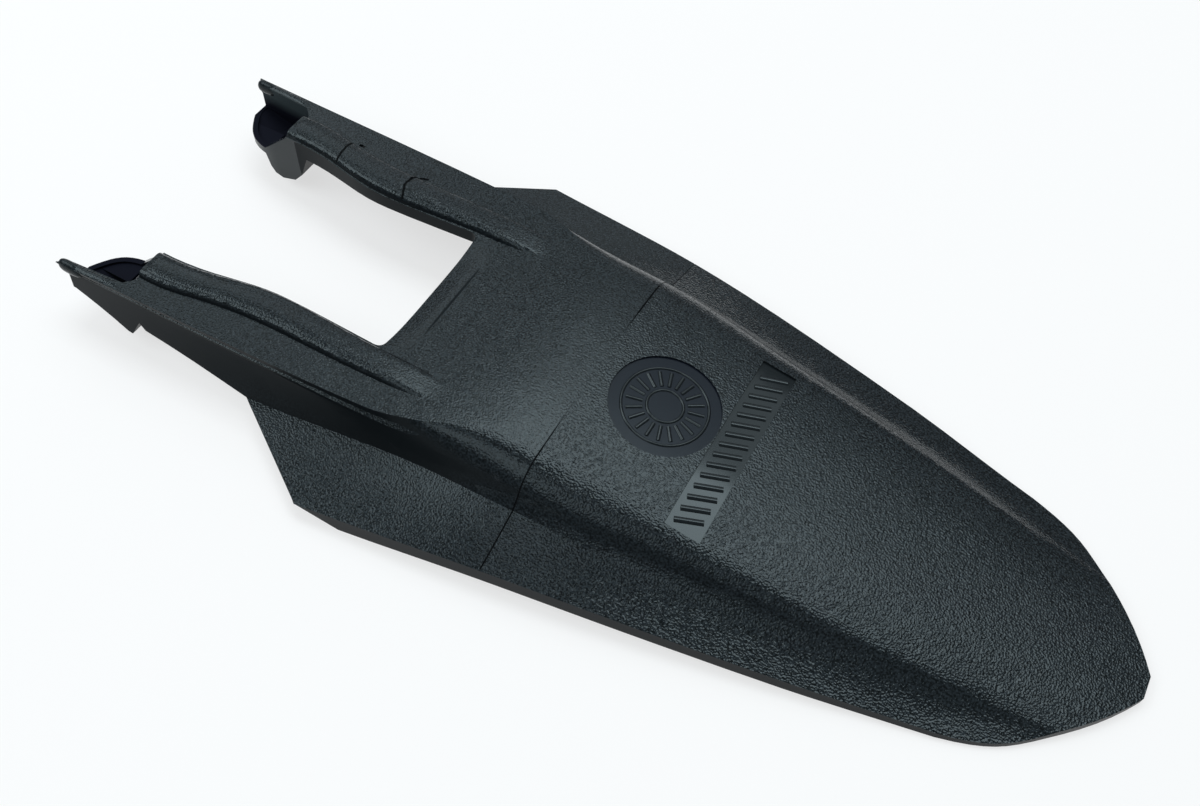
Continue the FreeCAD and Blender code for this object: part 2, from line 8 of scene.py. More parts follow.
import bpy
import numpy as np
from mathutils import Matrix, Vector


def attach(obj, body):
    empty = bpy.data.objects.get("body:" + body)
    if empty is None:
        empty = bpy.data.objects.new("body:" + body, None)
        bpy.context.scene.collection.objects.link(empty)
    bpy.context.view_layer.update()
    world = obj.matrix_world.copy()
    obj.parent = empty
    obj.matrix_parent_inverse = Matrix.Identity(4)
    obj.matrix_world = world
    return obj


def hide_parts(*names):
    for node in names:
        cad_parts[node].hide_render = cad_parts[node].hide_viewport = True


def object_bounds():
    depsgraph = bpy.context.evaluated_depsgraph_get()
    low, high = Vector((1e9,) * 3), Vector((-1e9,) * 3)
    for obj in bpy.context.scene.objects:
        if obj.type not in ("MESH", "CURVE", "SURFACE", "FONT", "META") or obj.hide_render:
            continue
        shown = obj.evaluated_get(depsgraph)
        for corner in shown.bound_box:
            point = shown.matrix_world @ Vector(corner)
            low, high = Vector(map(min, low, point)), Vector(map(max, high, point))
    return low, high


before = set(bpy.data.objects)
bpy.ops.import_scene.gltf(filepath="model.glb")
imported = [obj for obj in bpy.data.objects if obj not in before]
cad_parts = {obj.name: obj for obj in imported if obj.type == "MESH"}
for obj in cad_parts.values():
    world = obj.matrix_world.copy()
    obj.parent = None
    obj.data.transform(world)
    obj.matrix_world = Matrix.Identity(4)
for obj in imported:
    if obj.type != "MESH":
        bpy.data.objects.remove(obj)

LOG = logging.getLogger("rear_fender")
CAD_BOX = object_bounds()
BODY = "root"
NODE = "rear_fender"
GRAIN = "grain"
MM = 0.001
HALF_LENGTH = 0.280
NO_SURFACE = -1.0
MIRROR = np.array([1.0, -1.0, 1.0])

Pair = tuple[float, float]
Place = tuple[float, float, float]
Colour = tuple[float, float, float]
Socket = bpy.types.NodeSocket


def station(millimetres: float) -> float:
    """Turn a station behind the lips' tips, in millimetres, into a place along X."""
    return millimetres * MM - HALF_LENGTH


WITNESS = station(272.6)
DISC_PLACE = (station(309.5), 0.0)
STRIP_PLACE = (station(347.0), 0.0)


class Slot(Enum):
    """Material slots of the shell."""

    SKIN = 0
    # The pocket slot holds the pockets' painted shade, darker towards the bottom.
    POCKET_SHADE = 1
    STRIP = 2
    # The disc slot gets a darker, bluish painted shade.
    DISC = 3
    # The slope and wall slots hold shaded copies of the skin's plastic: painted shade on steep faces.
    HALF_SHADED_SLOPE = 4
    WALL = 5


class NodeBench:
    """A new material, with the kinds of node that the finishes share."""

    def __init__(self, name: str) -> None:
        """Make the material with a plain shader.

        Args:
            name: The material's name.
        """
        self.material = bpy.data.materials.new(name)
        self.material.use_nodes = True
        self.nodes = self.material.node_tree.nodes
        self.link = self.material.node_tree.links.new
        self.shader = self.nodes["Principled BSDF"]

    def place(self) -> Socket:
        """Return the Object coordinates."""
        return self.nodes.new("ShaderNodeTexCoord").outputs["Object"]

    def feed(self, value: Socket | float, socket: Socket) -> None:
        """Give an input its value.

        Args:
            value: A socket to link, or a number to set.
            socket: The input.
        """
        if isinstance(value, float):
            socket.default_value = value
        else:
            self.link(value, socket)

    def math(self, operation: str, first: Socket | float, second: Socket | float) -> Socket:
        """Work out a value from two others.

        Args:
            operation: The math node's operation.
            first: The first value.
            second: The second value.

        Returns:
            The node's value.
        """
        node = self.nodes.new("ShaderNodeMath")
        node.operation = operation
        self.feed(first, node.inputs[0])
        self.feed(second, node.inputs[1])
        return node.outputs["Value"]

    def mix(self, factor: Socket, first: Socket | float, second: Socket | float) -> Socket:
        """Mix two values.

        Args:
            factor: The second value's share.
            first: The value at a factor of 0.
            second: The value at a factor of 1.

        Returns:
            The mixed value.
        """
        node = self.nodes.new("ShaderNodeMix")
        self.link(factor, node.inputs["Factor"])
        self.feed(first, node.inputs["A"])
        self.feed(second, node.inputs["B"])
        return node.outputs["Result"]

    def blend(self, factor: Socket, first: Colour, second: Colour) -> Socket:
        """Mix two colours.

        Args:
            factor: The second colour's share.
            first: The colour at a factor of 0.
            second: The colour at a factor of 1.

        Returns:
            The mixed colour.
        """
        node = self.nodes.new("ShaderNodeMix")
        node.data_type = "RGBA"
        self.link(factor, node.inputs["Factor"])
        node.inputs["A"].default_value = (*first, 1.0)
        node.inputs["B"].default_value = (*second, 1.0)
        return node.outputs["Result"]

    def carry(self, value: Socket, span: Pair, result: Pair = (0.0, 1.0)) -> Socket:
        """Carry a span of a value over to another span, and stop at its ends.

        Args:
            value: The value.
            span: The value's own span.
            result: The span that it is carried to.

        Returns:
            The carried value.
        """
        node = self.nodes.new("ShaderNodeMapRange")
        self.link(value, node.inputs["Value"])
        node.inputs["From Min"].default_value = span[0]
        node.inputs["From Max"].default_value = span[1]
        node.inputs["To Min"].default_value = result[0]
        node.inputs["To Max"].default_value = result[1]
        return node.outputs["Result"]

    def grains(self, place: Socket, count: float) -> Socket:
        """Make one layer of sand grains.

        Args:
            place: The coordinates that the grains lie in.
            count: The number of grains in a metre.

        Returns:
            The layer's value, from 0 to 1.
        """
        layer = self.nodes.new("ShaderNodeTexNoise")
        layer.inputs["Scale"].default_value = count
        layer.inputs["Detail"].default_value = 0.0
        self.link(place, layer.inputs["Vector"])
        return layer.outputs["Fac"]


@dataclass(frozen=True)
class GrainedPlastic:
    """Charcoal moulded plastic with a sand grain, which the mesh's grain attribute scales."""

    name: str = "charcoal_grained_plastic"
    dark: Colour = (0.0026, 0.0036, 0.0043)
    light: Colour = (0.0165, 0.0215, 0.0255)
    sheen_tint: Colour = (0.84, 0.97, 1.0)
    rough_grain: float = 0.15
    rough_smooth: float = 0.26
    specular: float = 0.27
    smooth_tone: float = 0.45
    fine_grains: float = 1200.0
    coarse_grains: float = 1080.0
    speck_grains: float = 1000.0
    speck_span: Pair = (0.32, 0.72)
    fine_depth: float = 0.00015
    coarse_depth: float = 0.00026
    coarse_from: float = WITNESS

    def material(self) -> bpy.types.Material:
        """Build the node material.

        Returns:
            The material, with grain from Object coordinates and the mesh's grain attribute.
        """
        bench = NodeBench(self.name)
        shader = bench.shader
        shader.inputs["Specular IOR Level"].default_value = self.specular
        shader.inputs["Specular Tint"].default_value = (*self.sheen_tint, 1.0)
        place = bench.place()
        zone = bench.nodes.new("ShaderNodeAttribute")
        zone.attribute_name = GRAIN
        share = zone.outputs["Fac"]

        split = bench.nodes.new("ShaderNodeSeparateXYZ")
        bench.link(place, split.inputs["Vector"])
        rear = bench.math("GREATER_THAN", split.outputs["X"], self.coarse_from)
        fine = bench.math("MULTIPLY", bench.grains(place, self.fine_grains), self.fine_depth)
        coarse = bench.math("MULTIPLY", bench.grains(place, self.coarse_grains), self.coarse_depth)
        bump = bench.nodes.new("ShaderNodeBump")
        bump.inputs["Strength"].default_value = 1.0
        bump.inputs["Distance"].default_value = 1.0
        bench.link(bench.math("MULTIPLY", bench.mix(rear, fine, coarse), share), bump.inputs["Height"])
        bench.link(bump.outputs["Normal"], shader.inputs["Normal"])

        specks = bench.carry(bench.grains(place, self.speck_grains), self.speck_span)
        tone = bench.blend(bench.mix(share, self.smooth_tone, specks), self.dark, self.light)
        bench.link(tone, shader.inputs["Base Color"])
        gloss = bench.carry(share, (0.0, 1.0), (self.rough_smooth, self.rough_grain))
        bench.link(gloss, shader.inputs["Roughness"])
        return bench.material


@dataclass(frozen=True)
class PocketShadePlastic:
    """Dull plastic inside the pockets, coloured near-black as painted shade, lighter towards their rims."""

    name: str = "painted_shade_pocket_plastic"
    # Painted shade: the deep colour low in the pocket, fading to the rim colour up the span.
    deepest_shade: Colour = (0.0036, 0.0044, 0.0095)
    rim: Colour = (0.034, 0.045, 0.050)
    shade_fade_span: Pair = (27.0 * MM, 34.0 * MM)
    roughness: float = 0.8
    specular: float = 0.08

    def material(self) -> bpy.types.Material:
        """Build the node material.

        Returns:
            The material, whose colour goes from deep to rim with the height in Object coordinates.
        """
        bench = NodeBench(self.name)
        bench.shader.inputs["Roughness"].default_value = self.roughness
        bench.shader.inputs["Specular IOR Level"].default_value = self.specular
        split = bench.nodes.new("ShaderNodeSeparateXYZ")
        bench.link(bench.place(), split.inputs["Vector"])
        tone = bench.blend(bench.carry(split.outputs["Z"], self.shade_fade_span), self.deepest_shade, self.rim)
        bench.link(tone, bench.shader.inputs["Base Color"])
        return bench.material


@dataclass(frozen=True)
class StudioFloor:
    """Plain pale floor that shows white to the camera and keeps a soft shadow."""

    name: str = "pale_floor"
    colour: Colour = (0.86, 0.86, 0.86)
    roughness: float = 0.9
    half: float = 30.0
    shadow_share: float = 0.35

    def material(self) -> bpy.types.Material:
        """Build the floor's material.

        Returns:
            A pale diffuse surface, lifted towards white for camera, glossy and transmission rays.
        """
        bench = NodeBench(self.name)
        shader = bench.shader
        shader.inputs["Base Color"].default_value = (*self.colour, 1.0)
        shader.inputs["Roughness"].default_value = self.roughness
        shader.inputs["Specular IOR Level"].default_value = 0.0
        white = bench.nodes.new("ShaderNodeEmission")
        path = bench.nodes.new("ShaderNodeLightPath")
        bent = bench.math("MAXIMUM", path.outputs["Is Glossy Ray"], path.outputs["Is Transmission Ray"])
        seen = bench.math("MAXIMUM", path.outputs["Is Camera Ray"], bent)
        mix = bench.nodes.new("ShaderNodeMixShader")
        bench.link(bench.math("MULTIPLY", seen, 1.0 - self.shadow_share), mix.inputs["Fac"])
        bench.link(shader.outputs["BSDF"], mix.inputs[1])
        bench.link(white.outputs["Emission"], mix.inputs[2])
        bench.link(mix.outputs["Shader"], bench.nodes["Material Output"].inputs["Surface"])
        return bench.material

    def build(self) -> bpy.types.Object:
        """Lay the floor, one square, at the part's lowest point.

        Returns:
            The floor's object.
        """
        level = float(CAD_BOX[0][2])
        reach = np.linspace(-self.half, self.half, 2)
        u, v = np.meshgrid(reach, reach)
        points = np.stack([u.ravel(), v.ravel(), np.full(u.size, level)], axis=1)
        mesh = bpy.data.meshes.new(self.name)
        mesh.from_pydata(points.tolist(), [], [[0, 1, 3, 2]])
        mesh.materials.append(self.material())
        floor = bpy.data.objects.new(self.name, mesh)
        bpy.context.scene.collection.objects.link(floor)
        return floor


@dataclass
class Surface:
    """A triangle mesh as arrays, with heights of its upper side."""

    points: np.ndarray
    triangles: np.ndarray
    least_up: float = 0.02
    least_cross: float = 1e-15
    slack: float = 1e-6

    @classmethod
    def merged(cls, mesh: bpy.types.Mesh, grid: float = 2e-6) -> "Surface":
        """Read a mesh of loose triangles and merge the corners that coincide.

        Args:
            mesh: The CAD node's mesh.
            grid: Corners that round to the same cell of this size become one.

        Returns:
            The merged surface, without triangles that collapse.
        """
        points = np.empty(len(mesh.vertices) * 3, np.float32)
        mesh.vertices.foreach_get("co", points)
        corners = np.empty(len(mesh.loops), np.int32)
        mesh.loops.foreach_get("vertex_index", corners)
        points = points.reshape(-1, 3).astype(float)
        keys = np.round(points / grid).astype(np.int64)
        _, first, inverse = np.unique(keys, axis=0, return_index=True, return_inverse=True)
        triangles = inverse.ravel()[corners].reshape(-1, 3)
        whole = (triangles != np.roll(triangles, 1, axis=1)).all(axis=1)
        return cls(points[first], triangles[whole])

    def joined(self, piece: bpy.types.Object) -> "Surface":
        """Add a piece's triangles to the surface.

        Args:
            piece: A piece whose place is in its mesh.

        Returns:
            The surface with the piece on it.
        """
        mesh = piece.data
        mesh.calc_loop_triangles()
        points = np.empty(len(mesh.vertices) * 3, np.float32)
        mesh.vertices.foreach_get("co", points)
        triangles = np.empty(len(mesh.loop_triangles) * 3, np.int32)
        mesh.loop_triangles.foreach_get("vertices", triangles)
        return Surface(np.concatenate([self.points, points.reshape(-1, 3).astype(float)]),
                       np.concatenate([self.triangles, triangles.reshape(-1, 3) + len(self.points)]))

    def normals(self) -> np.ndarray:
        """Work out every triangle's normal, the cross product of two of its edges at unit length.

        Returns:
            One vector for each triangle.
        """
        a, b, c = (self.points[self.triangles[:, i]] for i in range(3))
        cross = np.cross(b - a, c - a)
        return cross / np.maximum(np.linalg.norm(cross, axis=1, keepdims=True), self.least_cross)

    def centres(self) -> np.ndarray:
        """Return the centre of every triangle."""
        return self.points[self.triangles].mean(axis=1)

    def height(self, x: np.ndarray, y: np.ndarray) -> np.ndarray:
        """Find how high the upper side lies over plan points.

        Each point's barycentric weights in every upward triangle near it tell which triangles hold it,
        and the highest of those gives the height.

        Args:
            x: Places along X.
            y: Places along Y, of the same shape.

        Returns:
            Heights of the same shape, with NO_SURFACE where the surface has no upper side.
        """
        px, py = x.ravel(), y.ravel()
        corner = self.points[self.triangles]
        near = (corner[..., 0].max(1) >= px.min()) & (corner[..., 0].min(1) <= px.max())
        near &= (corner[..., 1].max(1) >= py.min()) & (corner[..., 1].min(1) <= py.max())
        near &= self.normals()[:, 2] > self.least_up
        a, b, c = (corner[near, i, :] for i in range(3))
        area = (b[:, 0] - a[:, 0]) * (c[:, 1] - a[:, 1]) - (c[:, 0] - a[:, 0]) * (b[:, 1] - a[:, 1])
        dx, dy = px[:, None] - a[:, 0], py[:, None] - a[:, 1]
        v = (dx * (c[:, 1] - a[:, 1]) - dy * (c[:, 0] - a[:, 0])) / area
        w = (dy * (b[:, 0] - a[:, 0]) - dx * (b[:, 1] - a[:, 1])) / area
        inside = (v >= -self.slack) & (w >= -self.slack) & (v + w <= 1.0 + self.slack)
        z = a[:, 2] + v * (b[:, 2] - a[:, 2]) + w * (c[:, 2] - a[:, 2])
        return np.where(inside, z, NO_SURFACE).max(axis=1).reshape(x.shape)


def put_on_part(name: str, mesh: bpy.types.Mesh, finish: bpy.types.Material) -> bpy.types.Object:
    """Link a finished mesh as a piece that rides on the part.

    Args:
        name: The piece's name.
        mesh: Its mesh, in place.
        finish: Its material.

    Returns:
        The piece's object.
    """
    mesh.materials.append(finish)
    piece = bpy.data.objects.new(name, mesh)
    bpy.context.scene.collection.objects.link(piece)
    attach(piece, BODY)
    LOG.info("%s: %d faces", name, len(mesh.polygons))
    return piece


def set_grain(mesh: bpy.types.Mesh, values: np.ndarray) -> None:
    """Store how strong the grain is at every face corner of a mesh.

    Args:
        mesh: The mesh.
        values: Numbers from 0 to 1, in the order of the mesh's corners.
    """
    mesh.attributes.new(GRAIN, "FLOAT", "CORNER").data.foreach_set("value", values.astype(np.float32))


def running_mean(values: np.ndarray, run: int, mode: str = "same") -> np.ndarray:
    """Return the mean of every run of neighbours in a row of values."""
    return np.convolve(values, np.ones(run) / run, mode=mode)


@dataclass
class FenderShell:
    """The moulded shell: the CAD solid's skin, merged and shaded smooth between its creases."""

    skin: Surface
    crease_angle: float = math.radians(17.0)
    disc_radius: float = 28.0 * MM
    strip_half: Pair = (9.25 * MM, 53.5 * MM)
    margin: float = 0.02 * MM
    pocket_low: Place = (station(2.0), 49.0 * MM, 4.0 * MM)
    pocket_high: Place = (station(56.0), 81.0 * MM, 38.0 * MM)
    pocket_heart: Place = (station(28.0), 64.0 * MM, 22.0 * MM)
    pocket_rim: float = 25.0 * MM
    pocket_floor_up: float = 0.3
    grain_start: float = 0.35
    grain_full: float = 0.72
    # Faces steeper than these get painted shade.
    shaded_wall_up: float = 0.55
    half_shaded_up: float = 0.68
    claw_end: float = station(50.0)
    claw_side: float = 56.0 * MM

    def disc_faces(self) -> np.ndarray:
        """Tell which triangles lie in the round recess."""
        away = self.skin.points[self.skin.triangles][..., :2] - np.array(DISC_PLACE)
        return (np.hypot(away[..., 0], away[..., 1]) <= self.disc_radius + self.margin).all(axis=1)

    def strip_faces(self) -> np.ndarray:
        """Tell which triangles lie in the strip recess."""
        away = np.abs(self.skin.points[self.skin.triangles][..., :2] - np.array(STRIP_PLACE))
        return (away <= np.array(self.strip_half) + self.margin).all(axis=(1, 2))

    def pocket_shade_faces(self) -> np.ndarray:
        """Tell which triangles line the pockets, which are coloured with painted shade.

        Both sides are folded onto one. A triangle counts that lies near the pocket and faces its heart, or
        that faces up below the pocket's rim.

        Returns:
            A truth value for each triangle.
        """
        centre = self.skin.centres()
        side = np.sign(centre[:, 1:2])
        fold = np.concatenate([np.ones_like(side), side, np.ones_like(side)], axis=1)
        folded = centre * fold
        normal = self.skin.normals() * fold
        low, high = np.array(self.pocket_low), np.array(self.pocket_high)
        near = ((folded >= low) & (folded <= high)).all(axis=1)
        inward = ((np.array(self.pocket_heart) - folded) * normal).sum(axis=1) > 0.0
        low_top = (folded[:, 2] < self.pocket_rim) & (normal[:, 2] > self.pocket_floor_up)
        return near & (inward | low_top)

    @staticmethod
    def upward(mesh: bpy.types.Mesh) -> np.ndarray:
        """Work out how far every face corner's normal points up.

        Args:
            mesh: The mesh, with its sharp edges set.

        Returns:
            The Z part of each corner's normal.
        """
        normal = np.empty(len(mesh.loops) * 3, np.float32)
        mesh.corner_normals.foreach_get("vector", normal)
        return normal.reshape(-1, 3)[:, 2]

    def grain(self, mesh: bpy.types.Mesh) -> np.ndarray:
        """Work out how strong the grain is at every face corner.

        It rises with the upward part of the corner's normal, from none on steep walls and undersides to
        full on flat tops, and it is none in the recesses.

        Args:
            mesh: The shell's mesh, with its sharp edges set.

        Returns:
            One value from 0 to 1 for each corner.
        """
        share = (self.upward(mesh) - self.grain_start) / (self.grain_full - self.grain_start)
        recess = np.repeat(self.disc_faces() | self.strip_faces(), 3)
        return np.where(recess, 0.0, np.clip(share, 0.0, 1.0))

    def slots(self, mesh: bpy.types.Mesh) -> np.ndarray:
        """Sort the triangles into material slots.

        The mean upward part of a triangle's corner normals tells walls and slopes from tops. Walls and
        slopes get painted shade, as copies of the tops' plastic with less shine, the walls also darker. The
        hooked inner ends of the arms count as tops.

        Args:
            mesh: The shell's mesh, with its sharp edges set.

        Returns:
            One slot number for each triangle.
        """
        up = self.upward(mesh).reshape(-1, 3).mean(axis=1)
        centre = self.skin.centres()
        claw = (centre[:, 0] < self.claw_end) & (np.abs(centre[:, 1]) < self.claw_side)
        slots = np.full(len(up), Slot.SKIN.value)
        slots[(up < self.half_shaded_up) & ~claw] = Slot.HALF_SHADED_SLOPE.value
        slots[(up < self.shaded_wall_up) & ~claw] = Slot.WALL.value
        slots[self.pocket_shade_faces()] = Slot.POCKET_SHADE.value
        slots[self.strip_faces()] = Slot.STRIP.value
        slots[self.disc_faces()] = Slot.DISC.value
        return slots

    def build(self, finishes: dict[Slot, bpy.types.Material]) -> bpy.types.Object:
        """Build the shell's piece in the CAD node's place.

        Args:
            finishes: The material of each slot.

        Returns:
            The piece that stands for the CAD node.
        """
        mesh = bpy.data.meshes.new("fender_shell")
        mesh.from_pydata(self.skin.points.tolist(), [], self.skin.triangles.tolist())
        mesh.polygons.foreach_set("use_smooth", np.ones(len(mesh.polygons), bool))
        mesh.set_sharp_from_angle(angle=self.crease_angle)
        set_grain(mesh, self.grain(mesh))
        piece = put_on_part("fender_shell", mesh, finishes[Slot.SKIN])
        for slot in list(Slot)[1:]:
            mesh.materials.append(finishes[slot])
        mesh.polygons.foreach_set("material_index", self.slots(mesh).astype(np.int32))
        mesh.update()
        weigh = piece.modifiers.new("even_normals", "WEIGHTED_NORMAL")
        weigh.keep_sharp = True
        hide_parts(NODE)
        return piece


@dataclass
class Ridges:
    """Low ridges with rounded tops that follow plan paths over a surface."""

    name: str
    skin: Surface
    half_width: float
    height: float
    sink: float = 0.25 * MM
    facets: int = 8
    grain: float = 0.0
    crease_angle: float = math.radians(50.0)

    def build(self, paths: np.ndarray, finish: bpy.types.Material, closed: bool = False,
              rise: np.ndarray | None = None, spread: np.ndarray | None = None) -> bpy.types.Object:
        """Carry the ridge's profile along the paths.

        The profile is a parabola, lift = height (1 - u^2) for u from -1 to 1. A path point plus the
        profile's offset along the path's plan normal gives a plan place, and the surface's height there
        plus the lift gives the height. Beside the surface, the profile's lowest place on it counts.

        Args:
            paths: Plan points, shaped (ridges, points, 2).
            finish: The ridges' material.
            closed: Whether each path runs back into its start.
            rise: A factor on the height at each path point, or none for 1.
            spread: A factor on the width at each path point, or none for 1.

        Returns:
            One piece that holds all the ridges.
        """
        u = np.linspace(-1.0, 1.0, self.facets + 1)
        side = np.concatenate([u[:1], u, u[-1:]]) * self.half_width
        lift = np.concatenate([[0.0], 1.0 - u * u, [0.0]]) * self.height
        below = np.concatenate([[self.sink], np.zeros(u.size), [self.sink]])
        ridges, count, _ = paths.shape
        if closed:
            run = np.roll(paths, -1, axis=1) - np.roll(paths, 1, axis=1)
        else:
            run = np.gradient(paths, axis=1)
        run /= np.linalg.norm(run, axis=2, keepdims=True)
        across = np.stack([-run[..., 1], run[..., 0]], axis=2)
        factor = np.ones((ridges, count)) if rise is None else rise
        share = np.ones((ridges, count)) if spread is None else spread
        plan = paths[:, :, None, :] + across[:, :, None, :] * (side * share[:, :, None])[..., None]
        z = self.skin.height(plan[..., 0], plan[..., 1])
        found = z > NO_SURFACE
        lowest = np.where(found, z, np.inf).min(axis=2, keepdims=True)
        z = np.where(found, z, lowest) + lift * factor[:, :, None] - below
        points = np.concatenate([plan, z[..., None]], axis=3).reshape(-1, 3)
        index = np.arange(z.size).reshape(z.shape)
        ahead = np.roll(index, -1, axis=1) if closed else index[:, 1:]
        here = index if closed else index[:, :-1]
        quads = np.stack([here, ahead, np.roll(ahead, -1, axis=2), np.roll(here, -1, axis=2)], axis=3)
        faces = quads.reshape(-1, 4).tolist()
        round_faces = len(faces)
        if not closed:
            faces += index[:, 0].tolist() + index[:, -1, ::-1].tolist()
        mesh = bpy.data.meshes.new(self.name)
        mesh.from_pydata(points.tolist(), [], faces)
        mesh.polygons.foreach_set("use_smooth", np.arange(len(faces)) < round_faces)
        mesh.set_sharp_from_angle(angle=self.crease_angle)
        set_grain(mesh, np.full(len(mesh.loops), self.grain))
        mesh.update()
        return put_on_part(self.name, mesh, finish)


@dataclass
class RecessRelief:
    """Plain generic relief in the crown's two shallow recesses: slanted bars, and rings with short ribs."""

    skin: Surface
    bar_count: int = 15
    bar_pitch: float = 6.6 * MM
    bar_half: float = 6.4 * MM
    bar_slant: float = 0.45
    bar_half_width: float = 1.55 * MM
    bar_height: float = 0.75 * MM
    bar_points: int = 5
    ring_radii: tuple[float, ...] = (21.5 * MM, 9.0 * MM)
    ring_half_width: float = 0.8 * MM
    ring_height: float = 0.6 * MM
    ring_points: int = 96
    rib_count: int = 20
    rib_from: float = 11.2 * MM
    rib_to: float = 19.4 * MM
    rib_half_width: float = 1.0 * MM
    rib_height: float = 0.6 * MM
    rib_points: int = 6

    @staticmethod
    def spokes(count: int) -> np.ndarray:
        """Return a number of plan directions, spread evenly over a full turn."""
        angle = np.arange(count) * 2.0 * math.pi / count
        return np.stack([np.cos(angle), np.sin(angle)], axis=1)

    def build(self, finish: bpy.types.Material) -> list[bpy.types.Object]:
        """Build the bars, the rings and the ribs.

        The bars are a row of straight paths, each shifted along Y by the slant times its X. A ring is its
        radius times each direction of a full turn, and a rib is a run of radii in one direction.

        Args:
            finish: The relief's material.

        Returns:
            The pieces.
        """
        along = np.linspace(-1.0, 1.0, self.bar_points) * self.bar_half
        offset = (np.arange(self.bar_count) - (self.bar_count - 1) / 2.0) * self.bar_pitch
        x = STRIP_PLACE[0] + np.broadcast_to(along, (self.bar_count, along.size))
        y = STRIP_PLACE[1] + offset[:, None] + self.bar_slant * along
        bars = Ridges("strip_bars", self.skin, self.bar_half_width, self.bar_height)
        pieces = [bars.build(np.stack([x, y], axis=2), finish)]

        circle = self.spokes(self.ring_points)
        turns = np.array(DISC_PLACE) + np.array(self.ring_radii)[:, None, None] * circle
        rings = Ridges("disc_rings", self.skin, self.ring_half_width, self.ring_height)
        pieces.append(rings.build(turns, finish, closed=True))

        out = np.linspace(self.rib_from, self.rib_to, self.rib_points)
        rays = np.array(DISC_PLACE) + self.spokes(self.rib_count)[:, None, :] * out[None, :, None]
        ribs = Ridges("disc_ribs", self.skin, self.rib_half_width, self.rib_height)
        pieces.append(ribs.build(rays, finish))
        return pieces


@dataclass(frozen=True)
class Scar:
    """One rough line: its plan points, as stations and sides in millimetres, and its profile."""

    name: str
    line: tuple[Pair, ...]
    half_width: float
    height: float


@dataclass
class FlashLines:
    """Rough lines left by the mould across the rib of the right arm, coloured near-black as painted shade.
    """

    skin: Surface
    seed: int = 7
    points: int = 60
    shake: float = 0.45
    shake_run: int = 3
    mean_rise: float = 0.75
    rise_change: float = 0.5
    rise_run: int = 2
    rise_limits: Pair = (0.1, 1.6)
    scars: tuple[Scar, ...] = (
        Scar("front_flash_line", ((80.6, 65.0), (79.6, 62.9), (79.6, 55.0), (80.0, 48.0)),
             half_width=0.7 * MM, height=0.25 * MM),
        Scar("rear_flash_line", ((130.0, 63.6), (126.0, 62.3), (123.6, 57.5), (123.5, 51.0), (126.0, 46.0),
                                 (127.2, 43.0)),
             half_width=0.7 * MM, height=0.6 * MM))

    def build(self, finish: bpy.types.Material) -> list[bpy.types.Object]:
        """Build the scars.

        Straight runs between the plan points are shaken along X by seeded noise, in shares of the half
        width, and more of that noise varies their height.

        Args:
            finish: The lines' material.

        Returns:
            The pieces.
        """
        rng = np.random.default_rng(self.seed)
        t = np.linspace(0.0, 1.0, self.points)
        pieces = []
        for scar in self.scars:
            knots = np.array(scar.line)
            own = np.linspace(0.0, 1.0, len(knots))
            x = station(0.0) + np.interp(t, own, knots[:, 0]) * MM
            y = np.interp(t, own, knots[:, 1]) * MM
            shift = running_mean(rng.normal(0.0, 1.0, t.size), self.shake_run)
            path = np.stack([x + shift * self.shake * scar.half_width, y], axis=1)
            change = running_mean(rng.normal(0.0, 1.0, t.size), self.rise_run)
            rise = np.clip(self.mean_rise + self.rise_change * change, *self.rise_limits)
            ridge = Ridges(scar.name, self.skin, scar.half_width, scar.height)
            pieces.append(ridge.build(path[None], finish, rise=rise[None]))
        return pieces


@dataclass(frozen=True)
class RoundedTop:
    """One rounded top: its plan points, as stations and sides in millimetres, its profile and its ends.

    The start and the fade are the shares of its length over which it rises and dies out.
    """

    name: str
    line: tuple[Pair, ...]
    half_width: float
    height: float
    start: float
    fade: float


@dataclass
class ArmRounding:
    """Rounded tops of the arms' ribs and of the lips at the arms' outer edges."""

    skin: Surface
    points: int = 90
    smoothing: int = 13
    tip_width: float = 0.25
    facets: int = 12
    rib: RoundedTop = RoundedTop(
        "rib_tops",
        ((43.8, 59.6), (55.0, 59.5), (65.0, 58.7), (80.0, 56.0), (100.0, 53.0), (120.0, 51.8),
         (140.0, 52.0), (160.0, 52.2), (175.0, 52.2), (190.0, 52.5), (203.0, 52.3)),
        half_width=5.6 * MM, height=0.7 * MM, start=0.03, fade=0.5)
    lip: RoundedTop = RoundedTop(
        "lip_tops",
        ((3.2, 80.2), (8.0, 80.0), (12.0, 79.8), (20.0, 79.5), (30.0, 78.9), (41.0, 77.8)),
        half_width=1.9 * MM, height=0.8 * MM, start=0.08, fade=0.3)

    def build(self, finish: bpy.types.Material) -> list[bpy.types.Object]:
        """Build the rounded tops on both arms.

        Each line is read off its plan points by linear interpolation, smoothed, and mirrored in Y. The
        height starts as a quarter ellipse and fades out as a half cosine, and the width starts at a share
        of the full one.

        Args:
            finish: The tops' material.

        Returns:
            The pieces: the ribs' tops, then the lips' tops.
        """
        pieces = []
        for top in (self.rib, self.lip):
            knots = np.array(top.line)
            x = np.linspace(knots[0, 0], knots[-1, 0], self.points)
            y = np.interp(x, knots[:, 0], knots[:, 1])
            pad = np.pad(y, self.smoothing // 2, mode="reflect", reflect_type="odd")
            y = running_mean(pad, self.smoothing, mode="valid")
            t = np.linspace(0.0, 1.0, x.size)
            begin = np.sqrt(1.0 - np.clip(1.0 - t / top.start, 0.0, 1.0) ** 2)
            end = 0.5 - 0.5 * np.cos(math.pi * np.clip((1.0 - t) / top.fade, 0.0, 1.0))
            spread = self.tip_width + (1.0 - self.tip_width) * begin
            right = np.stack([station(0.0) + x * MM, y * MM], axis=1)
            ridge = Ridges(top.name, self.skin, top.half_width, top.height, grain=1.0, facets=self.facets)
            pieces.append(ridge.build(np.stack([right, right * MIRROR[:2]]), finish,
                                      rise=np.stack([begin * end] * 2), spread=np.stack([spread] * 2)))
        return pieces


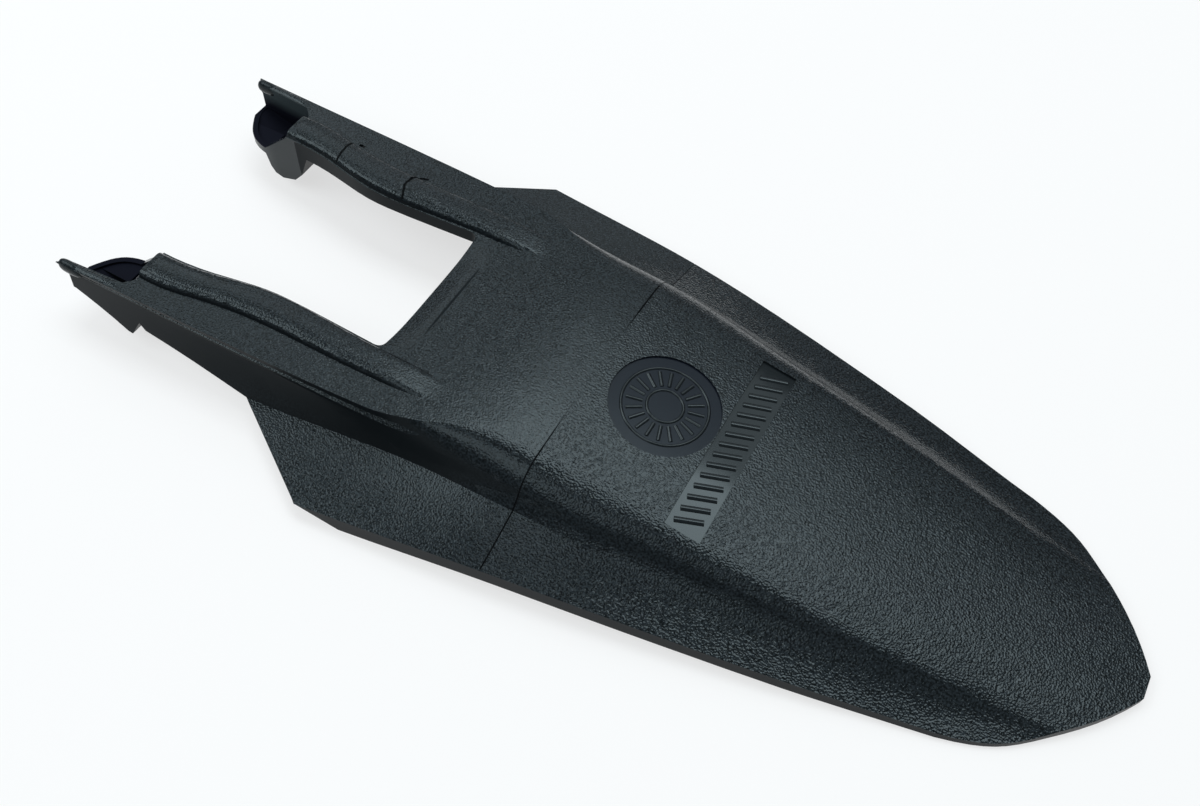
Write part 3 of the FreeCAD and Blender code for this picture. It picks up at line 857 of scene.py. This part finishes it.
@dataclass
class LipNoses:
    """Rounded noses at the front tips of the two lips."""

    centre: Place = (station(7.2), 80.0 * MM, 37.4 * MM)
    reach: Place = (7.1 * MM, 2.9 * MM, 4.2 * MM)
    bluntness: float = 0.62
    rings: int = 24
    steps: int = 32
    grain: float = 0.5

    def build(self, finish: bpy.types.Material) -> bpy.types.Object:
        """Build both noses, the second mirrored in Y.

        Each is a blunt ellipsoid along X: x = a cos u, y = b sin u cos v, z = c sin u sin v, where cos u
        and sin u are raised to the bluntness and keep their signs. It has one point at each pole and quads
        between the rings.

        Args:
            finish: The noses' material.

        Returns:
            The piece that holds both.
        """
        u = np.linspace(0.0, math.pi, self.rings + 2)[1:-1, None]
        v = np.linspace(0.0, 2.0 * math.pi, self.steps + 1)[None, :-1]
        along = np.sign(np.cos(u)) * np.abs(np.cos(u)) ** self.bluntness
        out = np.sin(u) ** self.bluntness
        grid = np.stack([along + 0.0 * v, out * np.cos(v), out * np.sin(v)], axis=2).reshape(-1, 3)
        unit = np.concatenate([grid, [[1.0, 0.0, 0.0], [-1.0, 0.0, 0.0]]])
        right = np.array(self.centre) + unit * np.array(self.reach)
        index = np.arange(self.rings * self.steps).reshape(self.rings, self.steps)
        beside = np.roll(index, -1, axis=1)
        quads = np.stack([index[:-1], index[1:], beside[1:], beside[:-1]], axis=2).reshape(-1, 4)
        first = np.stack([np.full(self.steps, index.size), index[0], beside[0]], axis=1)
        last = np.stack([np.full(self.steps, index.size + 1), beside[-1], index[-1]], axis=1)
        parts = [quads, first, last]
        parts += [part[:, ::-1] + len(right) for part in parts]
        faces = sum((part.tolist() for part in parts), [])
        mesh = bpy.data.meshes.new("lip_noses")
        mesh.from_pydata(np.concatenate([right, right * MIRROR]).tolist(), [], faces)
        mesh.polygons.foreach_set("use_smooth", np.ones(len(mesh.polygons), bool))
        set_grain(mesh, np.full(len(mesh.loops), self.grain))
        mesh.update()
        return put_on_part("lip_noses", mesh, finish)


@dataclass
class CrossLines:
    """Lines across the shell, coloured dark as painted shade: the mould's witness groove on both sides, and
    the deck's front fold.
    """

    skin: Surface
    points: int = 90
    near_start: float = -30.0 * MM
    far_side: Pair = (30.0 * MM, 63.0 * MM)
    rim_band: float = 4.0 * MM
    rim_gap: float = 0.9 * MM
    line_half_width: float = 0.42 * MM
    line_height: float = 0.06 * MM
    line_taper: float = 0.3
    line_tip: float = 0.15
    fold: float = station(188.8)
    fold_side: Pair = (-27.0 * MM, 25.0 * MM)
    fold_half_width: float = 0.7 * MM
    fold_height: float = 0.05 * MM
    fold_sink: float = 0.1 * MM
    fold_tip: float = 0.02

    def build(self, dark: bpy.types.Material, fold_shade: bpy.types.Material) -> list[bpy.types.Object]:
        """Build the lines as strips of constant X.

        The near witness line runs out to the rim, which is the outermost point of the skin in a band about
        the line. The witness lines widen evenly from their inner ends, and the fold's width follows half an
        ellipse from end to end.

        Args:
            dark: The witness lines' material, near-black as painted shade of their groove.
            fold_shade: The fold's material.

        Returns:
            The pieces.
        """
        t = np.linspace(0.0, 1.0, self.points)
        band = np.abs(self.skin.points[:, 0] - WITNESS) < self.rim_band
        rim = self.rim_gap - np.abs(self.skin.points[band, 1]).max()
        near = np.linspace(self.near_start, rim, self.points)
        sides = np.stack([near, np.linspace(*self.far_side, self.points)])
        widening = np.clip(t / self.line_taper, self.line_tip, 1.0)
        lines = Ridges("witness_shade_lines", self.skin, self.line_half_width, self.line_height)
        pieces = [lines.build(np.stack([np.full_like(sides, WITNESS), sides], axis=2), dark,
                              spread=np.stack([widening, widening]))]

        across = np.linspace(*self.fold_side, self.points)
        arch = np.sqrt(np.clip(4.0 * t * (1.0 - t), self.fold_tip, 1.0))
        # The fold is a low strip in the walls' painted-shade plastic, standing for the crease's shade.
        crease = Ridges("deck_fold_shade", self.skin, self.fold_half_width, self.fold_height, sink=self.fold_sink)
        pieces.append(crease.build(np.stack([np.full_like(across, self.fold), across], axis=1)[None], fold_shade,
                                   spread=arch[None]))
        return pieces


@dataclass
class PocketFloors:
    """Thin floors at the front of the pockets under the arms, coloured with the pockets' painted shade."""

    low: Pair = (station(14.0), 56.0 * MM)
    high: Pair = (station(29.4), 77.4 * MM)
    thickness: float = 0.5 * MM
    front_level: float = 19.2 * MM
    rear_level: float = 16.0 * MM

    def build(self, finish: bpy.types.Material) -> bpy.types.Object:
        """Build both floors as boxes that slope from the front level to the rear level, mirrored in Y.

        A box is its plan rectangle, which falls evenly along X, and the same one raised by the thickness.

        Args:
            finish: The floors' material.

        Returns:
            The piece that holds both.
        """
        x = np.array([self.low[0], self.high[0], self.high[0], self.low[0]])
        y = np.array([self.low[1], self.low[1], self.high[1], self.high[1]])
        z = np.array([self.front_level, self.rear_level, self.rear_level, self.front_level])
        bottom = np.stack([x, y, z], axis=1)
        box = np.concatenate([bottom, bottom + np.array([0.0, 0.0, self.thickness])])
        here = np.arange(4)
        ahead = np.roll(here, -1)
        walls = np.stack([here, ahead, ahead + 4, here + 4], axis=1)
        quads = np.concatenate([[[0, 3, 2, 1], [4, 5, 6, 7]], walls])
        faces = np.concatenate([quads, quads[:, ::-1] + len(box)])
        mesh = bpy.data.meshes.new("pocket_floors")
        mesh.from_pydata(np.concatenate([box, box * MIRROR]).tolist(), [], faces.tolist())
        mesh.update()
        return put_on_part("pocket_floors", mesh, finish)


@dataclass(frozen=True)
class SoftLamp:
    """A soft rectangular lamp: its name, its place, its two sides and its power in watts."""

    name: str
    place: Place
    sides: Pair
    power: float


@dataclass
class Studio:
    """Camera, lamps and sky at the photograph's viewing angle."""

    eye: Place = (0.1474, -0.3061, 0.5152)
    right: Place = (0.8683, 0.4946, 0.0374)
    down: Place = (0.4267, -0.7064, -0.5647)
    lens: float = 36.0
    sensor: float = 36.0
    nearest: float = 0.01
    lamps: tuple[SoftLamp, ...] = (
        SoftLamp("ceiling_box", (0.1, 0.91, 3.0), (2.9, 1.13), 50.0),
        SoftLamp("ceiling_back", (0.0, 2.05, 2.9), (3.0, 1.25), 14.0),
        SoftLamp("near_panel", (-0.4, -1.9, 2.7), (1.7, 2.0), 18.0),
        SoftLamp("left_panel", (-2.1, -0.9, 2.1), (1.4, 2.0), 32.0),
        SoftLamp("left_back_panel", (-2.1, 1.3, 2.0), (1.4, 1.8), 9.0),
        SoftLamp("back_panel", (-1.0, 2.9, 1.45), (2.2, 1.2), 5.0))
    lamp_run: Place = (1.0, 0.01, 0.0)
    lamp_colour: Colour = (0.90, 0.97, 1.0)
    sky: float = 0.22

    def camera(self) -> bpy.types.Object:
        """Set up the camera.

        Returns:
            The camera, made the scene's own.
        """
        right = np.array(self.right)
        up = -np.array(self.down)
        back = np.cross(right, up)
        data = bpy.data.cameras.new("photo_view")
        data.sensor_fit = "HORIZONTAL"
        data.sensor_width = self.sensor
        data.lens = self.lens
        data.clip_start = self.nearest
        camera = bpy.data.objects.new("photo_view", data)
        turn = Matrix(np.stack([right, up, back], axis=1).tolist())
        camera.matrix_world = Matrix.Translation(self.eye) @ turn.to_4x4()
        bpy.context.scene.collection.objects.link(camera)
        bpy.context.scene.camera = camera
        return camera

    def light(self) -> None:
        """Hang the soft lamps and set a plain sky.

        Each lamp is aimed at the part's origin, and its first side follows the lamps' run as far as it can.
        """
        for lamp in self.lamps:
            data = bpy.data.lights.new(lamp.name, "AREA")
            data.shape = "RECTANGLE"
            data.size, data.size_y = lamp.sides
            data.energy = lamp.power
            data.color = self.lamp_colour
            hung = bpy.data.objects.new(lamp.name, data)
            back = np.array(lamp.place) / np.linalg.norm(lamp.place)
            up = np.cross(back, self.lamp_run)
            up = up / np.linalg.norm(up)
            turn = Matrix(np.stack([np.cross(up, back), up, back], axis=1).tolist())
            hung.matrix_world = Matrix.Translation(lamp.place) @ turn.to_4x4()
            bpy.context.scene.collection.objects.link(hung)
        world = bpy.data.worlds.new("plain_sky")
        world.use_nodes = True
        backdrop = world.node_tree.nodes["Background"]
        backdrop.inputs["Color"].default_value = (*self.lamp_colour, 1.0)
        backdrop.inputs["Strength"].default_value = self.sky
        bpy.context.scene.world = world


def main() -> None:
    """Build and dress the part and its studio, and report each piece."""
    logging.basicConfig(level=logging.INFO, format="%(name)s %(message)s")
    bpy.context.scene.view_settings.view_transform = "Standard"
    skin = Surface.merged(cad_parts[NODE].data)
    plastic = GrainedPlastic().material()
    relief = GrainedPlastic(
        name="smooth_relief_plastic", specular=0.36, rough_smooth=0.14, smooth_tone=0.3).material()
    # Near-black painted shade for the witness groove and the flash lines.
    shade_line_plastic = GrainedPlastic(
        name="painted_shade_line_plastic", dark=(0.002, 0.0022, 0.0026), light=(0.003, 0.0032, 0.0038),
        rough_smooth=0.8, specular=0.08).material()
    # The pockets' lining is painted shade: near-black deep down, lighter towards the rims.
    pocket_lining_shade = PocketShadePlastic().material()
    # Painted shade for steep faces: copies of the plastic with less shine, the walls also darker in tone.
    shaded_wall = GrainedPlastic(
        name="painted_shade_wall_plastic", specular=0.06, rough_smooth=0.34, smooth_tone=0.25).material()
    half_shaded_slope = GrainedPlastic(name="painted_half_shade_slope_plastic", specular=0.16).material()
    # The round recess's floor is coloured darker and bluish as painted shade of its darker reflection.
    shaded_disc = GrainedPlastic(
        name="painted_shade_disc_plastic", dark=(0.004, 0.0055, 0.0095), light=(0.009, 0.012, 0.020),
        specular=0.15, rough_smooth=0.24).material()
    FenderShell(skin).build({
        Slot.SKIN: plastic, Slot.POCKET_SHADE: pocket_lining_shade, Slot.STRIP: relief, Slot.DISC: shaded_disc, Slot.HALF_SHADED_SLOPE: half_shaded_slope,
        Slot.WALL: shaded_wall})
    RecessRelief(skin).build(relief)
    rib_tops, _ = ArmRounding(skin).build(plastic)
    # The lip noses take the slope's painted-shade plastic.
    LipNoses().build(half_shaded_slope)
    # The witness lines and the deck fold carry painted shade.
    CrossLines(skin).build(shade_line_plastic, shaded_wall)
    PocketFloors().build(pocket_lining_shade)
    # The flash lines take the near-black painted-shade plastic.
    FlashLines(skin.joined(rib_tops)).build(shade_line_plastic)
    StudioFloor().build()
    studio = Studio()
    studio.camera()
    studio.light()


if __name__ == "__main__":
    main()
